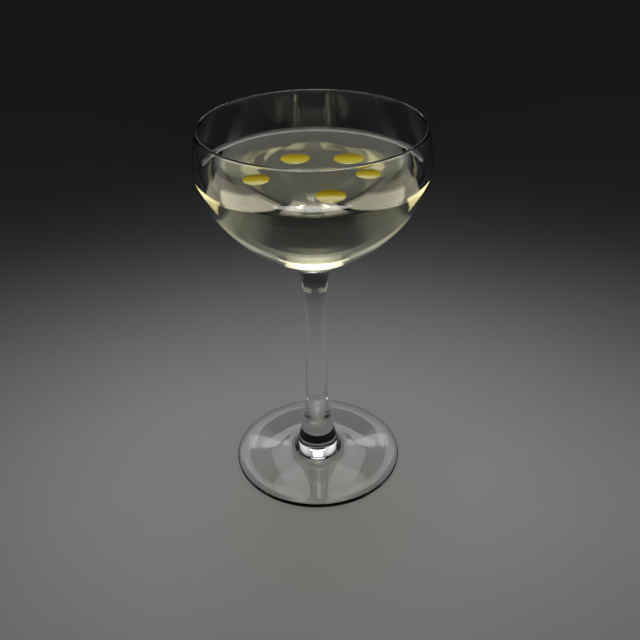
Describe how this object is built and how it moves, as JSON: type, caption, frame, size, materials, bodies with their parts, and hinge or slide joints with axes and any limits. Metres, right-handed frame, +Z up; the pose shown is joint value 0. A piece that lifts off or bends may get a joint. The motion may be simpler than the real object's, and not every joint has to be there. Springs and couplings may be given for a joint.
{
  "type": "martini cocktail",
  "caption": "Clear straw-coloured cocktail in a stemmed coupe glass with a curved bowl and round foot, with golden oil drops floating in its surface.",
  "frame": {"origin": "middle of the foot's underside, in the plane of the ring that it rests on", "axes": "+Z up along the stem and the bowl's axis; the picture looks along +Y from above, with +X to its right"},
  "size_m": [0.0964, 0.0964, 0.1685],
  "materials": {
    "clear_glass": "clear, colourless and fire-polished",
    "drink": "clear, pale straw, still and glossy",
    "olive_oil": "golden yellow, clear and glossy"
  },
  "bodies": {
    "root": {"coupe_glass": "clear_glass", "martini": "drink", "oil_drop_1": "olive_oil", "oil_drop_2": "olive_oil", "oil_drop_3": "olive_oil", "oil_drop_4": "olive_oil", "oil_drop_5": "olive_oil"}
  },
  "joints": []
}
